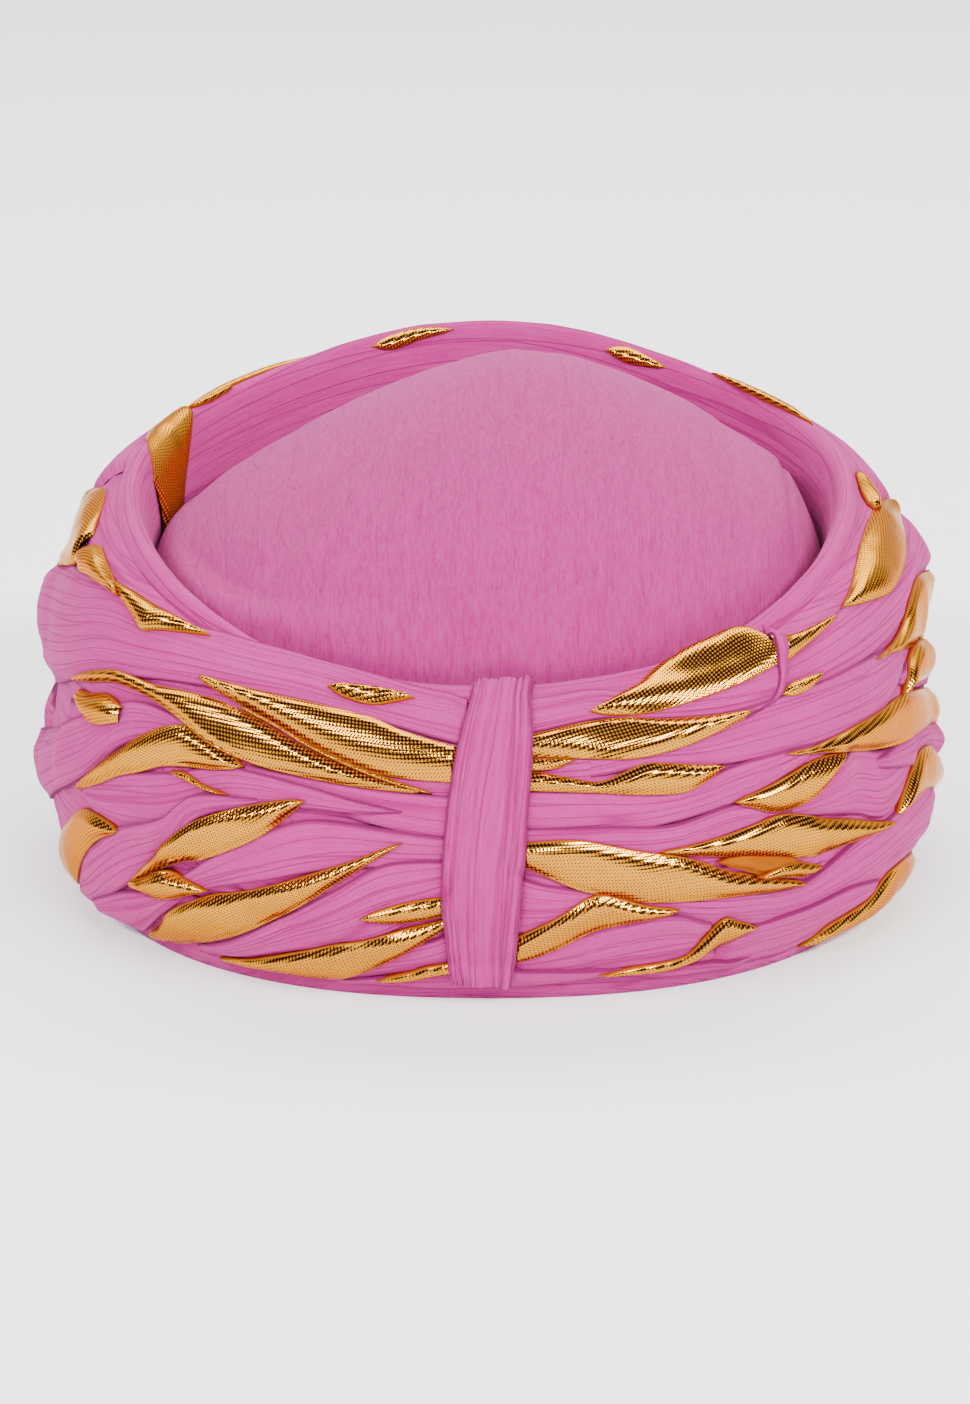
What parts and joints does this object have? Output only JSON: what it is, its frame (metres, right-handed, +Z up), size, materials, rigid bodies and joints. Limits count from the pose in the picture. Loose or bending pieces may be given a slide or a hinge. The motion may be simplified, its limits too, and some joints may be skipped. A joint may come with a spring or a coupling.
{
  "type": "wound turban",
  "caption": "Wound turban: a cloth crown inside a padded band of criss-crossed pink and gold strips, with an upright pleated tab in front, open below for the head.",
  "frame": {"origin": "on the surface it stands on, under the middle of its outline", "axes": "+Z up, -Y towards the wearer's front with the pleated tab, +X to the right of someone facing the front"},
  "size_m": [0.2492, 0.263, 0.1318],
  "materials": {
    "pink_muslin": "matt, finely pleated sheer cotton",
    "crown_muslin": "matt, sheer open weave over a lining",
    "gold_lame": "metallic woven gold with a soft shine"
  },
  "bodies": {
    "root": {"padded_core": "pink_muslin", "crown": "crown_muslin", "rim_strip": "pink_muslin", "front_tab": "pink_muslin", "hem_strip": "pink_muslin", "left_pink_1": "pink_muslin", "left_pink_2": "pink_muslin", "left_pink_3": "pink_muslin", "left_pink_4": "pink_muslin", "left_pink_5": "pink_muslin", "left_pink_6": "pink_muslin", "left_pink_7": "pink_muslin", "left_pink_8": "pink_muslin", "right_pink_1": "pink_muslin", "right_pink_2": "pink_muslin", "right_pink_3": "pink_muslin", "right_pink_4": "pink_muslin", "right_pink_5": "pink_muslin", "right_pink_6": "pink_muslin", "right_pink_7": "pink_muslin", "right_pink_8": "pink_muslin", "right_pink_9": "pink_muslin", "right_pink_10": "pink_muslin", "right_pink_11": "pink_muslin", "back_pink_1": "pink_muslin", "back_pink_2": "pink_muslin", "back_pink_3": "pink_muslin", "back_pink_4": "pink_muslin", "back_pink_5": "pink_muslin", "back_pink_6": "pink_muslin", "left_gold_1": "gold_lame", "left_gold_2": "gold_lame", "left_gold_3": "gold_lame", "left_gold_4": "gold_lame", "left_gold_5": "gold_lame", "left_gold_6": "gold_lame", "left_gold_7": "gold_lame", "left_gold_8": "gold_lame", "left_gold_9": "gold_lame", "left_gold_10": "gold_lame", "left_gold_11": "gold_lame", "left_gold_12": "gold_lame", "right_gold_1": "gold_lame", "right_gold_2": "gold_lame", "right_gold_3": "gold_lame", "right_gold_4": "gold_lame", "right_gold_5": "gold_lame", "right_gold_6": "gold_lame", "right_gold_7": "gold_lame", "right_gold_8": "gold_lame", "right_gold_9": "gold_lame", "right_gold_10": "gold_lame", "right_gold_11": "gold_lame", "right_gold_12": "gold_lame", "right_gold_13": "gold_lame", "right_gold_14": "gold_lame", "back_gold_1": "gold_lame", "back_gold_2": "gold_lame", "back_gold_3": "gold_lame", "back_gold_4": "gold_lame"}
  },
  "joints": []
}
